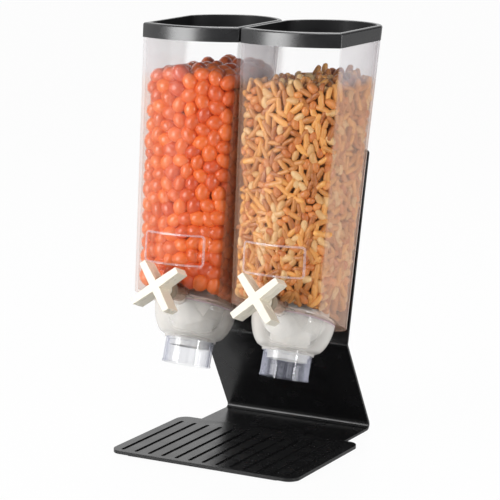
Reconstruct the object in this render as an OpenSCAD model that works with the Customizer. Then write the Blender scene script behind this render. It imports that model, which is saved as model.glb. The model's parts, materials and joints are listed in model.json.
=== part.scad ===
// Twin gravity dispenser for dry foods, in millimetres.
// It stands on z = 0 with its front facing -Y; the origin is under the middle of its box.
// Each side has a lidded clear hopper, hung on the leaning back panel, and a paddle wheel
// in its outlet that an X-shaped knob turns. Pieces of a side are drawn about x = 0, and
// on_side() moves them to their place.

/* [Stand] */
// Depth from the tray's front edge to the back of the fold
base_d = 244; // [236:1:256]
// Width of the bent steel sheet
stand_w = 200; // [180:1:215]
// Thickness of the sheet
sheet_t = 3; // [2:0.1:3.5]
// Inside radius of the two bends
bend_r = 4; // [3:0.5:6]
// Height of the knee, where the lower panel meets the upper one
knee_z = 121.2; // [116:0.1:126]
// Lean of the lower panel towards the front, in degrees
lower_lean = 28.7; // [27:0.1:30]
// Lean of the upper panel towards the back, in degrees
upper_lean = 13.15; // [12.5:0.05:14]
// Length of the upper panel above the knee
panel_l = 237; // [232:1:250]
// Radius of the upper panel's top corners
panel_corner_r = 5; // [2:1:12]
// Radius of a rubber foot
foot_r = 9; // [6:0.5:14]
// Thickness of a rubber foot
foot_t = 1.2; // [1:0.1:3]
// Distance from the sheet's edges to the middle of a foot
foot_inset = 20; // [15:1:30]

/* [Catch tray] */
// Width of the tray
tray_w = 249; // [240:1:260]
// Depth of the tray
tray_d = 168; // [150:1:175]
// Thickness of the tray where it lies on the sheet
tray_skin = 2.4; // [2.2:0.1:4]
// How far the tray's sides and front hang below the sheet's upper face
tray_drop = 1.6; // [1:0.1:2]
// Radius of the tray's corners
tray_corner_r = 14; // [8:1:20]
// Thickness of the tray's front rim
tray_rim_t = 2.2; // [1.5:0.1:4]
// Gap between the sheet's edges and the tray
tray_gap = 0.5; // [0.3:0.1:1]
// Width of a groove
groove_w = 5; // [3:0.5:7]
// Distance between neighbouring grooves
groove_pitch = 18.4; // [14:0.1:24]
// Depth of a groove
groove_depth = 1.6; // [0.8:0.1:1.8]
// Distance from the tray's front edge to the grooves
groove_front = 7; // [5:1:15]
// Distance from the tray's back edge to the grooves
groove_back = 21; // [10:1:40]
// Least distance from the tray's sides to a groove
groove_side = 9; // [6:1:20]

/* [Hoppers] */
// Gap between the outlines of the two hoppers at the lids' upper edge
side_gap = 3; // [2:0.1:7]
// Height of the lids' upper edge above the table
lid_top_z = 505; // [500:1:515]
// Height of a lid's outer band
lid_band_h = 17; // [14:1:20]
// Width of the hopper's outline at the lid's upper edge
mouth_w = 130; // [122:0.5:130]
// Depth of the hopper's flat sides at the lid's upper edge
mouth_side_d = 99.2; // [96:0.1:102]
// Depth of the rounded back at the lid's upper edge
mouth_back_d = 43.8; // [41:0.1:46]
// How far the bowed front stands out between its corners
front_bulge = 15; // [13:0.5:16]
// Lean of the front wall's corners, in degrees
front_lean = 6.8; // [6.5:0.05:7.1]
// Lean of the line where a flat side meets the rounded back, in degrees
side_lean = 11.28; // [11:0.02:11.6]
// Slope of each side wall from upright, in degrees
side_draft = 1.27; // [1:0.01:1.5]
// Taper of the rounded back's depth, in degrees
back_draft = 0.86; // [0.5:0.02:1.2]
// Squareness of the rounded back, where 2 is an ellipse
back_power = 1.75; // [1.6:0.05:2]
// Thickness of the hopper's walls
wall_t = 2.6; // [2:0.1:3]
// Thickness of the sloping floor
floor_t = 3; // [2.5:0.1:3.2]
// Slope of the floor, down towards the back, in degrees
floor_slope = 25; // [24:0.1:25.6]
// Width of the label frame on the front wall
label_w = 81; // [60:1:88]
// Height of the label frame
label_h = 37; // [28:1:45]
// Height of the middle of the label frame above the table
label_z = 245.5; // [242:0.5:270]
// Width of the label frame's bars
label_bar = 2; // [1.5:0.1:4]
// How far the label frame stands out of the wall
label_rise = 1.5; // [1:0.1:3]
// Radius of the label frame's corners
label_corner_r = 5; // [3:0.5:8]

/* [Lids] */
// Thickness of the lid's floor and rim
lid_t = 2.4; // [2:0.1:3]
// How far the lid's band stands out past the hopper's walls
band_proud = 0.5; // [0.2:0.1:0.7]
// Thickness of the band at its foot
band_t = 1.4; // [1.2:0.1:1.8]
// Height of the hopper's thin mouth, which stands inside the lid's band
mouth_h = 13; // [10:0.5:14]
// Gap between the hopper's mouth and the band round it
band_gap = 0.3; // [0.2:0.05:0.4]
// Gap between the hopper's mouth and the wall of the lid's dish
dish_gap = 1.1; // [1:0.05:1.4]
// Thickness of the wall of the lid's dish
dish_t = 1.8; // [1.5:0.1:2.5]
// Height of the rubber gasket round the dish
gasket_h = 3; // [2:0.5:4]
// Height of the gasket above the band's foot
gasket_rise = 2.5; // [1:0.5:5]
// Gap between the gasket and the hopper's mouth
gasket_gap = 0.4; // [0.3:0.05:0.6]

/* [Hangers] */
// Distance from the panel's upper edge down to the middle of a hanger
hanger_drop = 49.5; // [47:0.5:54]
// Gap between the panel and the hopper's back, at the hanger
hopper_gap = 24; // [23:0.1:26]
// Length of the T-shaped rail
rail_l = 55; // [45:1:60]
// Width of the rail's head
rail_head_w = 30; // [24:1:34]
// Thickness of the rail's head
rail_head_t = 4; // [3:0.1:4.5]
// Width of the rail's web
rail_web_w = 12; // [8:1:16]
// Height of the rail's web above its plate
rail_web_h = 10; // [8.5:0.1:11]
// Thickness of the hanger's plate
hanger_t = 3; // [2:0.1:4]
// Width of the hanger's plate
hanger_w = 36; // [30:1:44]
// Distance from a screw's middle to the end of the hanger's plate
hanger_edge = 6; // [5:0.5:8]
// Gap between the rail and the hook that slides over it
hook_gap = 0.4; // [0.3:0.05:0.6]
// Width of the hook on the hopper's back
hook_w = 46; // [40:1:52]
// Thickness of the hook's lips behind the rail's head
hook_lip_t = 3; // [2.5:0.1:4]
// Thickness of the hook above the rail
hook_top_t = 9; // [6:1:12]
// How far the hook hangs below the rail
hook_drop = 6; // [0:0.5:12]
// Radius of a screw's thread
screw_r = 2; // [1.5:0.1:2.5]
// Gap between a screw and its hole
screw_gap = 0.15; // [0.1:0.05:0.3]
// Radius of a screw's head
screw_head_r = 3.8; // [3:0.1:5]
// Height of a screw's head
screw_head_h = 2.4; // [1.5:0.1:3]
// Height of a nut
nut_h = 3.2; // [2:0.1:4]
// Radius of a nut over its corners
nut_r = 4; // [3.5:0.1:5.5]
// Distance from the end of the rail to the middle of a screw
screw_off = 7; // [6:0.5:9]
// Height of a bumper, measured up the panel from the knee
bumper_v = 45; // [40:1:60]
// Radius of a rubber bumper
bumper_r = 9; // [6:0.5:12]
// Gap between a bumper and the hopper's back
bumper_gap = 1.1; // [1.1:0.1:1.6]

/* [Valves] */
// Lean of the spout and of the knob's axle, in degrees
valve_lean = 20; // [19:0.1:21]
// Height of the wheel's middle above the table
valve_z = 173.8; // [172:0.1:177]
// Distance from the hopper's front corners back to the wheel's middle
valve_setback = 50.6; // [49:0.1:52]
// Height of the wheel's middle above the floor's underside
axle_rise = 8.7; // [8.3:0.1:9]
// Radius of the paddle wheel
wheel_r = 31; // [26:0.5:31.5]
// Width of the paddle wheel
wheel_w = 44; // [36:0.5:44.5]
// Number of vanes on the wheel
vanes = 6; // [4:1:8]
// Thickness of a vane
vane_t = 2.2; // [1.6:0.1:3.5]
// Radius of the wheel's hub
hub_r = 8; // [6.5:0.1:10]
// Depth that a vane's root sits in the hub
vane_root = 1.5; // [1:0.1:2]
// Gap between the wheel and the chute
wheel_gap = 0.5; // [0.4:0.05:0.7]
// Thickness of the chute's walls
chute_t = 2; // [1.6:0.1:2.2]
// Height of the chute's sides above the axle
cheek_h = 10; // [6:0.5:12]
// Width of the opening under the wheel
throat_w = 32; // [26:0.5:34]
// Length of the opening under the wheel, along the axle
throat_l = 38; // [30:0.5:40]
// Thickness of the chute's collar in the outlet hole
collar_t = 1.4; // [1:0.1:2]
// Outer radius of the chute's neck
neck_r = 24; // [21:0.5:24.4]
// Length of the neck inside the spout
neck_l = 11; // [8:0.5:16]
// Radius of the outlet hole in the floor
outlet_r = 42; // [41.8:0.1:43]
// Width of the chute's flange on the floor
flange_w = 5; // [3:0.5:6]
// Radius of the bowl's rim
rim_r = 49.5; // [48.5:0.1:50.5]
// Thickness of the bowl's wall
bowl_t = 2.2; // [1.8:0.1:2.8]
// Depth of the bowl's rounded part
bowl_d = 39; // [38:0.5:42]
// Roundness of the bowl, where 2 is an ellipse
bowl_power = 1.8; // [1.5:0.05:2.2]
// Thickness of the gasket between bowl and floor
seal_t = 1.5; // [1:0.1:2]
// Width of that gasket
seal_w = 3; // [2:0.5:5]
// Outer radius of the clear spout
spout_r = 28.8; // [28:0.1:30]
// Thickness of the spout's wall
spout_t = 2.2; // [1.6:0.1:2.3]
// Length of the spout below the bowl
spout_l = 32.3; // [28:0.1:34]
// How far the bead round the spout's mouth stands out
spout_bead = 0.6; // [0.3:0.1:1]
// Width of the lip that holds the spout
lip_w = 2; // [1.5:0.1:3]
// Height of the lip below the bowl
lip_h = 2.5; // [1.5:0.1:4]
// Height of the nut that clamps the chute to the bowl
ring_h = 5; // [3:0.5:7]
// Gap between pieces that are pushed together by hand
fit_gap = 0.1; // [0.06:0.02:0.14]

/* [Axles and knobs] */
// Radius of the axle
axle_r = 4; // [3:0.1:4.5]
// Running clearance of the axle in its bushes
axle_gap = 0.05; // [0.02:0.01:0.09]
// Depth of the flats that turn the wheel and the knob
flat_d = 0.8; // [0.5:0.1:1]
// Outer radius of the front bearing tube
tube_r = 12.5; // [12:0.1:14]
// Radius of the bore in the front bearing tube
tube_bore_r = 9; // [7.5:0.1:9.5]
// Gap between the bearing tube and the pieces cut away for it
tube_gap = 0.3; // [0.2:0.05:0.5]
// How far the bearing tube stands out of the front wall
tube_proud = 2; // [1:0.5:4]
// Radius of the ribbed collar in front of the tube
collar_r = 12; // [10:0.1:13]
// Length of the ribbed collar
collar_l = 8; // [6:0.5:10]
// Number of rings on the collar
collar_rings = 3; // [2:1:5]
// Depth of the grooves between the collar's rings
collar_groove = 1.4; // [0.8:0.1:2]
// Gap between the collar and the knob's hub
knob_gap = 0.4; // [0.3:0.1:0.8]
// Radius of the knob's hub
knob_hub_r = 9; // [7:0.5:12]
// Length of the knob's hub behind its arms
knob_hub_l = 4.7; // [3:0.1:7]
// Distance from the knob's middle to the end of an arm
knob_arm_l = 34; // [28:0.5:36]
// Width of an arm at its end
arm_tip_w = 8; // [6:0.5:10]
// Width of an arm at the knob's middle
arm_root_w = 10; // [9:0.5:12]
// Thickness of the arms along the axle
knob_t = 23; // [18:0.5:25]
// Thickness left in front of the axle's end
knob_face_t = 6; // [3:0.5:8]
// Turn of the left knob at rest, in degrees
left_turn = 39; // [0:1:90]
// Turn of the right knob at rest, in degrees
right_turn = 43; // [0:1:90]
// Wall of the sleeve round the axle, between the wheel and the front bearing
sleeve_t = 3; // [2:0.1:4]
// Gap between the axle and the sleeve
sleeve_gap = 1; // [0.5:0.1:2]
// Radius of the rear bush
bush_r = 7; // [6:0.1:8]
// Width of the rear bush's flange
bush_flange_w = 1.5; // [1:0.1:2]
// Thickness of the rear bush's flange
bush_flange_t = 1.5; // [1:0.1:2]
// Length of the rear bearing boss behind the chute's wall
boss_l = 2; // [1:0.5:3]
// Thickness of the axle's spring clip
clip_t = 0.8; // [0.6:0.1:1.2]
// Outer radius of the spring clip
clip_r = 7; // [6:0.1:8]
// Gap between the clip and the rear bush
clip_gap = 0.3; // [0.2:0.1:0.6]
// Depth of the groove that holds the clip
clip_groove = 0.7; // [0.5:0.1:1]
// Length of the axle behind the clip
axle_tail = 1.6; // [1:0.1:3]
// Gap round the clip and the axle's back end, in the chute's pocket
pocket_gap = 0.5; // [0.4:0.1:0.8]

/* [Hidden] */
SIDES = ["left", "right"];
SIDE_PIECES = [
    "hopper", "label_frame", "hook", "lid", "lid_gasket",
    "bowl", "bowl_gasket", "chute", "spout", "spout_nut",
    "front_bush", "rear_bush", "axle", "axle_clip",
    "wheel_hub", "wheel_vanes", "knob",
];
NODES = concat(
    ["stand_plate", "rubber_feet", "catch_tray", "left_hanger", "right_hanger",
     "hanger_screws", "hanger_nuts", "bumpers"],
    [for (s = SIDES) for (p = SIDE_PIECES) str(s, "_", p)]
);

$fn = 64;
FINE = 96;
// Longer than the whole part, for cutting blocks
FAR = 700;
// Overshoot of a cut past the face that it opens
CUT = 1;
FRONT_STEPS = 16;
BACK_STEPS = 36;
BOWL_STEPS = 12;
BEND_STEPS = 12;

// Stand
plate_top_z = foot_t + sheet_t;
fold_y = base_d / 2 - sheet_t - bend_r;
tray_front_y = -base_d / 2;
plate_front_y = tray_front_y + tray_rim_t + tray_gap;
fold_angle = 90 + lower_lean;
knee_angle = lower_lean + upper_lean;
fold_setback = bend_r * tan(fold_angle / 2);
knee_setback = (bend_r + sheet_t) * tan(knee_angle / 2);
knee_y = fold_y + fold_setback - (knee_z - plate_top_z) * tan(lower_lean);
lower_l = (knee_z - plate_top_z) / cos(lower_lean) - fold_setback - knee_setback;
lower_back = [cos(lower_lean), sin(lower_lean)];
lower_up = [-sin(lower_lean), cos(lower_lean)];
upper_back = [cos(upper_lean), -sin(upper_lean)];
upper_up = [sin(upper_lean), cos(upper_lean)];
fold_middle = [fold_y, plate_top_z + bend_r];
knee_middle = fold_middle + (2 * bend_r + sheet_t) * lower_back + lower_l * lower_up;
panel_top = knee_middle - bend_r * upper_back + (panel_l - knee_setback) * upper_up;

// Hoppers, whose outline is a function of the height
hopper_pitch = mouth_w + side_gap;
hanger_v = panel_l - hanger_drop;
hanger_z = knee_z + hanger_v * cos(upper_lean);
hanger_y = knee_y + hanger_v * sin(upper_lean);
mouth_front_y = hanger_y - hopper_gap / cos(upper_lean) - mouth_side_d - mouth_back_d
    + (lid_top_z - hanger_z) * (tan(side_lean) + tan(back_draft));
hopper_top_z = lid_top_z - lid_band_h;
loft_foot_z = 120;
lift_lean = (front_lean + side_lean) / 2;
function half_w(z) = mouth_w / 2 - (lid_top_z - z) * tan(side_draft);
function front_y(z) = mouth_front_y - (lid_top_z - z) * tan(front_lean);
function side_y(z) = mouth_front_y + mouth_side_d - (lid_top_z - z) * tan(side_lean);
function back_d(z) = mouth_back_d - (lid_top_z - z) * tan(back_draft);
function signed_pow(v, p) = sign(v) * pow(abs(v), p);
// Plan of the hopper at height z, grown by g, anticlockwise from the left front corner
function outline(z, g) = concat(
    [for (i = [0:FRONT_STEPS])
        let (s = 2 * i / FRONT_STEPS - 1)
        [s * (half_w(z) + g), front_y(z) - g - front_bulge * (1 - s * s)]],
    [for (i = [0:BACK_STEPS])
        let (a = 180 * i / BACK_STEPS)
        [(half_w(z) + g) * signed_pow(cos(a), 2 / back_power),
         side_y(z) + (back_d(z) + g) * signed_pow(sin(a), 2 / back_power)]]
);

// Same outline in space, and the one at the hopper's rim carried along the lid's way out
function plan(z, g) = [for (p = outline(z, g)) [p.x, p.y, z]];
function rim_plan(z, g) = [
    for (p = outline(hopper_top_z, g)) [p.x, p.y + (z - hopper_top_z) * tan(lift_lean), z]
];

// Distances inwards from the hopper's outline, at the lid
band_inset = band_t - band_proud;
mouth_inset = band_inset + band_gap;
groove_inset = wall_t + dish_gap;
dish_inset = groove_inset + dish_t;
mouth_top_z = hopper_top_z + mouth_h;

// Valves, whose axle runs along their own -Y and whose spout points along their own -Z
valve_y = front_y(valve_z) + valve_setback;
outlet_shift = axle_rise * sin(valve_lean) / cos(floor_slope - valve_lean);
bowl_top = -axle_rise * cos(floor_slope) / cos(floor_slope - valve_lean);
bowl_bottom = bowl_top - bowl_d;
lip_r = spout_r + fit_gap + lip_w;
trough_r = wheel_r + wheel_gap;
spout_bottom = bowl_bottom - spout_l;
neck_bottom = bowl_bottom - neck_l;
neck_top = -sqrt(pow(trough_r, 2) - pow(neck_r, 2));
trough_l = wheel_w + 2 * wheel_gap;
pocket_r = bush_r + bush_flange_w + pocket_gap;
boss_r = pocket_r + chute_t;
sleeve_bore_r = axle_r + sleeve_gap;
sleeve_r = sleeve_bore_r + sleeve_t;

// Stations along the axle, counted forwards from the wheel's middle
tube_start = outlet_r;
front_wall_n = (valve_setback + front_bulge)
    / (cos(valve_lean) + sin(valve_lean) * tan(front_lean));
tube_end = front_wall_n + tube_proud;
collar_end = tube_end + collar_l;
knob_back = collar_end + knob_gap;
arms_back = knob_back + knob_hub_l;
knob_front = arms_back + knob_t;
axle_front = knob_front - knob_face_t;
sleeve_end = tube_start - 2 * tube_gap;
rear_wall = -trough_l / 2 - chute_t;
boss_back = rear_wall - boss_l;
bush_back = boss_back - bush_flange_t;
clip_front = bush_back - clip_gap;
clip_back = clip_front - clip_t;
axle_back = clip_back - axle_tail;
pocket_back = axle_back - pocket_gap;

// Hanger, in distances from the panel's face
rail_from_v = hanger_v - rail_l / 2;
rail_to_v = hanger_v + rail_l / 2;
head_from = hanger_t + rail_web_h;
head_to = head_from + rail_head_t;
hook_from = head_from - hook_gap - hook_lip_t;
hook_reach = hopper_gap + hook_w / 4;
hook_foot_v = rail_from_v - hook_drop;

// ---- Frames ----

module on_side(side) translate([side * hopper_pitch / 2, 0, 0]) children();

// Own +Z runs up the upper panel and own -Y points out of its front face
module panel_frame() translate([0, knee_y, knee_z]) rotate([-upper_lean, 0, 0]) children();

// Own +Z stands out of the panel's face, which starts at the given height above the knee
module off_panel(v) panel_frame() translate([0, 0, v]) rotate([90, 0, 0]) children();

module valve_frame() translate([0, valve_y, valve_z]) rotate([-valve_lean, 0, 0]) children();

// Own +Z runs forwards along the axle, from a station on it, and own +Y points up
module on_axle(n = 0) valve_frame() rotate([90, 0, 0]) translate([0, 0, n]) children();

// Own +Z stands square on the sloping floor, at the middle of the outlet
module outlet_frame()
    translate([0, valve_y, valve_z - axle_rise])
        rotate([-floor_slope, 0, 0])
            translate([0, -outlet_shift, 0]) children();

// ---- Shared shapes ----

module ring(h, r_out, r_in) difference() {
    cylinder(h = h, r = r_out, $fn = FINE);
    translate([0, 0, -CUT]) cylinder(h = h + 2 * CUT, r = r_in, $fn = FINE);
}

// Plate with round corners, in the plane
module round_rect(w, d, r) {
    square([w - 2 * r, d], center = true);
    square([w, d - 2 * r], center = true);
    for (x = [-1, 1]) for (y = [-1, 1])
        translate([x * (w / 2 - r), y * (d / 2 - r)]) circle(r = r);
}

// Solid through a stack of plans, from the lowest up
module stack(plans) {
    n = len(plans[0]);
    top = n * (len(plans) - 1);
    polyhedron(
        points = [for (plan = plans) for (p = plan) p],
        faces = concat(
            [[for (i = [0:n - 1]) i]],
            [[for (i = [n - 1:-1:0]) top + i]],
            [for (k = [0:n:top - 1]) for (i = [0:n - 1]) [k + i, k + n + i, k + n + (i + 1) % n]],
            [for (k = [0:n:top - 1]) for (i = [0:n - 1]) [k + i, k + n + (i + 1) % n, k + (i + 1) % n]]
        )
    );
}

// Solid between two heights, with the hopper's leaning walls grown by g
module loft(z_low, z_high, g = 0) stack([plan(z_low, g), plan(z_high, g)]);

// Solid between two heights, with walls along the lid's way out, inset from the rim
module rim_block(z_low, z_high, inset)
    stack([rim_plan(z_low, -inset), rim_plan(z_high, -inset)]);

// Everything higher than h above the floor's underside
module above_floor(h)
    outlet_frame() translate([-FAR / 2, -FAR / 2, h]) cube([FAR, FAR, FAR]);

// Box standing off the panel: its width, its reach from and to, and its lower and upper end
module panel_box(w, from, to, v_low, v_high)
    off_panel(v_low) translate([-w / 2, 0, from]) cube([w, v_high - v_low, to - from]);

// Room that the front bearing tube takes, with a gap round it
module tube_room(gap = 0) on_axle(tube_start - gap) cylinder(h = FAR, r = tube_r + gap);

// ---- Stand ----

// Points along a bend of the sheet, round its middle
function bend(middle, r, from, to) = [
    for (i = [0:BEND_STEPS])
        let (a = from + (to - from) * i / BEND_STEPS)
        middle + r * [cos(a), sin(a)]
];

// Side view of the bent sheet: up its back, over the top edge and down its front
module stand_profile()
    polygon(concat(
        [[plate_front_y, foot_t]],
        bend(fold_middle, bend_r + sheet_t, -90, lower_lean),
        bend(knee_middle, bend_r, 180 + lower_lean, 180 - upper_lean),
        [panel_top, panel_top - sheet_t * upper_back],
        bend(knee_middle, bend_r + sheet_t, 180 - upper_lean, 180 + lower_lean),
        bend(fold_middle, bend_r, lower_lean, -90),
        [[plate_front_y, plate_top_z]]
    ));

module panel_corner(side)
    panel_frame()
        translate([side * (stand_w / 2 - panel_corner_r), 0, panel_l - panel_corner_r])
            rotate([90, 0, 0])
                linear_extrude(6 * sheet_t, center = true)
                    difference() {
                        translate([side * panel_corner_r, panel_corner_r])
                            square(2 * panel_corner_r, center = true);
                        circle(r = panel_corner_r);
                    }

module screw_places() {
    for (side = [-1, 1]) on_side(side)
        for (v = [rail_from_v - screw_off, rail_to_v + screw_off])
            off_panel(v) children();
}

module stand_plate() color("#1c1c1e")
    difference() {
        rotate([90, 0, 90]) linear_extrude(stand_w, center = true) stand_profile();
        for (side = [-1, 1]) panel_corner(side);
        screw_places()
            translate([0, 0, -2 * sheet_t]) cylinder(h = 3 * sheet_t, r = screw_r + screw_gap);
    }

module rubber_feet() color("#101010")
    for (x = [-1, 1]) for (y = [plate_front_y + foot_inset, fold_y - foot_inset])
        translate([x * (stand_w / 2 - foot_inset), y, 0]) cylinder(h = foot_t, r = foot_r);

module hanger() color("#242426")
    difference() {
        union() {
            panel_box(hanger_w, 0, hanger_t,
                rail_from_v - screw_off - hanger_edge, rail_to_v + screw_off + hanger_edge);
            panel_box(rail_web_w, 0, head_from + CUT, rail_from_v, rail_to_v);
            panel_box(rail_head_w, head_from, head_to, rail_from_v, rail_to_v);
        }
        for (v = [rail_from_v - screw_off, rail_to_v + screw_off])
            off_panel(v) translate([0, 0, -CUT])
                cylinder(h = hanger_t + 2 * CUT, r = screw_r + screw_gap);
    }

module hanger_screws() color("#b8b8ba")
    screw_places() {
        translate([0, 0, -sheet_t - nut_h]) cylinder(h = sheet_t + nut_h + hanger_t, r = screw_r);
        translate([0, 0, hanger_t]) difference() {
            cylinder(h = screw_head_h, r = screw_head_r);
            translate([-screw_head_r, -screw_r / 4, screw_head_h / 2])
                cube([2 * screw_head_r, screw_r / 2, screw_head_h]);
        }
    }

module hanger_nuts() color("#a9a9ac")
    screw_places() translate([0, 0, -sheet_t - nut_h]) difference() {
        cylinder(h = nut_h, r = nut_r, $fn = 6);
        translate([0, 0, -CUT]) cylinder(h = nut_h + 2 * CUT, r = screw_r + screw_gap / 3);
    }

module bumpers() color("#141414")
    for (side = [-1, 1]) on_side(side) difference() {
        off_panel(bumper_v) cylinder(h = hopper_gap, r = bumper_r);
        loft(loft_foot_z, hopper_top_z, bumper_gap);
    }

// ---- Catch tray ----

groove_l = tray_d - groove_front - groove_back;
grooves_each_way = floor((tray_w / 2 - groove_side - groove_w / 2) / groove_pitch);

module groove()
    translate([0, tray_front_y + groove_front + groove_l / 2, plate_top_z + tray_skin - groove_depth])
        linear_extrude(groove_depth + CUT) {
            square([groove_w, groove_l - groove_w], center = true);
            for (end = [-1, 1])
                translate([0, end * (groove_l - groove_w) / 2]) circle(d = groove_w, $fn = 32);
        }

module catch_tray() color("#232325")
    difference() {
        translate([0, tray_front_y + tray_d / 2, plate_top_z - tray_drop])
            linear_extrude(tray_drop + tray_skin) round_rect(tray_w, tray_d, tray_corner_r);
        translate([-stand_w / 2 - tray_gap, plate_front_y - tray_gap, plate_top_z - 2 * tray_drop])
            cube([stand_w + 2 * tray_gap, tray_d, 2 * tray_drop]);
        for (i = [-grooves_each_way:grooves_each_way])
            translate([i * groove_pitch, 0, 0]) groove();
    }

// ---- Hopper and lid ----

module hopper() color("#dfe6ea", 0.35)
    difference() {
        union() {
            difference() {
                union() {
                    intersection() {
                        loft(loft_foot_z, hopper_top_z);
                        above_floor(0);
                    }
                    rim_block(hopper_top_z - CUT, mouth_top_z, mouth_inset);
                }
                intersection() {
                    stack([
                        plan(loft_foot_z, -wall_t),
                        plan(hopper_top_z, -wall_t),
                        rim_plan(mouth_top_z + CUT, -wall_t)
                    ]);
                    above_floor(floor_t);
                }
                outlet_frame() translate([0, 0, -CUT])
                    cylinder(h = floor_t + 2 * CUT, r = outlet_r, $fn = FINE);
            }
            on_axle(tube_start) cylinder(h = tube_end - tube_start, r = tube_r);
        }
        on_axle(tube_start - CUT) cylinder(h = tube_end - tube_start + 2 * CUT, r = tube_bore_r);
        on_axle(tube_end) cylinder(h = collar_l, r = collar_r + tube_gap);
    }

module label_frame() color("#eef2f4", 0.5)
    difference() {
        intersection() {
            loft(loft_foot_z, hopper_top_z, label_rise);
            translate([0, front_y(label_z), label_z])
                rotate([90, 0, 0])
                    linear_extrude(FAR / 4, center = true)
                        difference() {
                            round_rect(label_w, label_h, label_corner_r);
                            round_rect(label_w - 2 * label_bar, label_h - 2 * label_bar,
                                label_corner_r - label_bar);
                        }
        }
        loft(loft_foot_z, hopper_top_z, fit_gap / 2);
    }

module hook() color("#d8dde0", 0.6)
    difference() {
        panel_box(hook_w, hook_from, hook_reach, hook_foot_v, rail_to_v + hook_top_t);
        loft(loft_foot_z, hopper_top_z, fit_gap / 2);
        panel_box(rail_head_w + 2 * hook_gap, head_from - hook_gap, head_to + hook_gap,
            hook_foot_v - CUT, rail_to_v);
        panel_box(rail_web_w + 2 * hook_gap, 0, head_from, hook_foot_v - CUT, rail_to_v);
    }

module lid() color("#1a1a1c")
    difference() {
        loft(hopper_top_z, lid_top_z, band_proud);
        rim_block(hopper_top_z + lid_t, lid_top_z + CUT, dish_inset);
        difference() {
            rim_block(hopper_top_z - CUT, lid_top_z - lid_t, band_inset);
            rim_block(hopper_top_z - 2 * CUT, lid_top_z, groove_inset);
        }
    }

module lid_gasket() color("#3a3a3c")
    difference() {
        rim_block(hopper_top_z + gasket_rise, hopper_top_z + gasket_rise + gasket_h,
            wall_t + gasket_gap);
        rim_block(hopper_top_z, hopper_top_z + gasket_rise + gasket_h + CUT, groove_inset);
    }

// ---- Bowl, chute and spout ----

function bowl_r(s) = lip_r + (rim_r - lip_r) * pow(1 - pow(s, bowl_power), 1 / bowl_power);

// Half outline of the bowl's rounded form, drawn in by t
function bowl_profile(t) = concat(
    [[0, axle_rise], [rim_r - t, axle_rise]],
    [for (i = [0:BOWL_STEPS])
        let (s = i / BOWL_STEPS)
        [bowl_r(s) - t, bowl_top - s * (bowl_d - t)]],
    [[0, bowl_bottom + t]]
);

module bowl() color("#e4e2dc", 0.8)
    difference() {
        valve_frame() {
            difference() {
                rotate_extrude($fn = FINE) polygon(bowl_profile(0));
                rotate_extrude($fn = FINE) polygon(bowl_profile(bowl_t));
                translate([0, 0, bowl_bottom - CUT])
                    cylinder(h = bowl_t + 2 * CUT, r = neck_r + fit_gap);
            }
            translate([0, 0, bowl_bottom - lip_h])
                ring(lip_h + bowl_t / 2, lip_r, spout_r + fit_gap);
        }
        above_floor(-seal_t);
        tube_room(tube_gap);
    }

module bowl_gasket() color("#c9c5cc")
    difference() {
        outlet_frame() translate([0, 0, -seal_t]) ring(seal_t, rim_r, rim_r - seal_w);
        tube_room(tube_gap);
    }

module chute() color("#f2f1ec")
    difference() {
        union() {
            difference() {
                on_axle(rear_wall)
                    cylinder(h = -2 * rear_wall, r = trough_r + chute_t, $fn = FINE);
                valve_frame() translate([-FAR / 2, -FAR / 2, cheek_h]) cube(FAR);
            }
            difference() {
                valve_frame() translate([0, 0, neck_bottom]) {
                    difference() {
                        cylinder(h = neck_top - neck_bottom, r = neck_r);
                        translate([0, 0, -CUT])
                            cylinder(h = neck_top - neck_bottom + 2 * CUT, r = neck_r - chute_t);
                    }
                }
                on_axle(rear_wall) cylinder(h = -2 * rear_wall, r = trough_r, $fn = FINE);
            }
            outlet_frame() ring(floor_t + CUT, outlet_r - 2 * fit_gap,
                outlet_r - 2 * fit_gap - collar_t);
            outlet_frame() translate([0, 0, floor_t])
                cylinder(h = chute_t, r = outlet_r + flange_w, $fn = FINE);
            on_axle(boss_back) cylinder(h = boss_l + chute_t, r = boss_r);
            difference() {
                on_axle(pocket_back - chute_t)
                    cylinder(h = boss_back - pocket_back + chute_t, r = boss_r);
                above_floor(floor_t + chute_t);
            }
            on_axle(trough_l / 2) cylinder(h = sleeve_end - trough_l / 2, r = sleeve_r);
        }
        on_axle(-trough_l / 2) cylinder(h = trough_l, r = trough_r, $fn = FINE);
        valve_frame() intersection() {
            translate([0, 0, neck_bottom]) cylinder(h = -neck_bottom, r = neck_r - chute_t);
            translate([-throat_w / 2, -throat_l / 2, neck_bottom])
                cube([throat_w, throat_l, -neck_bottom]);
        }
        on_axle(boss_back - CUT) cylinder(h = boss_l + chute_t + 2 * CUT, r = bush_r);
        on_axle(pocket_back) cylinder(h = boss_back - pocket_back, r = pocket_r);
        on_axle(0) cylinder(h = sleeve_end + CUT, r = sleeve_bore_r);
        tube_room(tube_gap);
    }

module spout() color("#e8eef2", 0.35)
    valve_frame() difference() {
        union() {
            translate([0, 0, spout_bottom]) cylinder(h = spout_l, r = spout_r, $fn = FINE);
            translate([0, 0, spout_bottom])
                cylinder(h = spout_t, r = spout_r + spout_bead, $fn = FINE);
        }
        translate([0, 0, spout_bottom - CUT])
            cylinder(h = spout_l + 2 * CUT, r = spout_r - spout_t, $fn = FINE);
    }

module spout_nut() color("#efeee9")
    valve_frame() translate([0, 0, bowl_bottom - ring_h])
        ring(ring_h, spout_r - spout_t - fit_gap, neck_r + axle_gap);

// ---- Axle, wheel and knob ----

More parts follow.
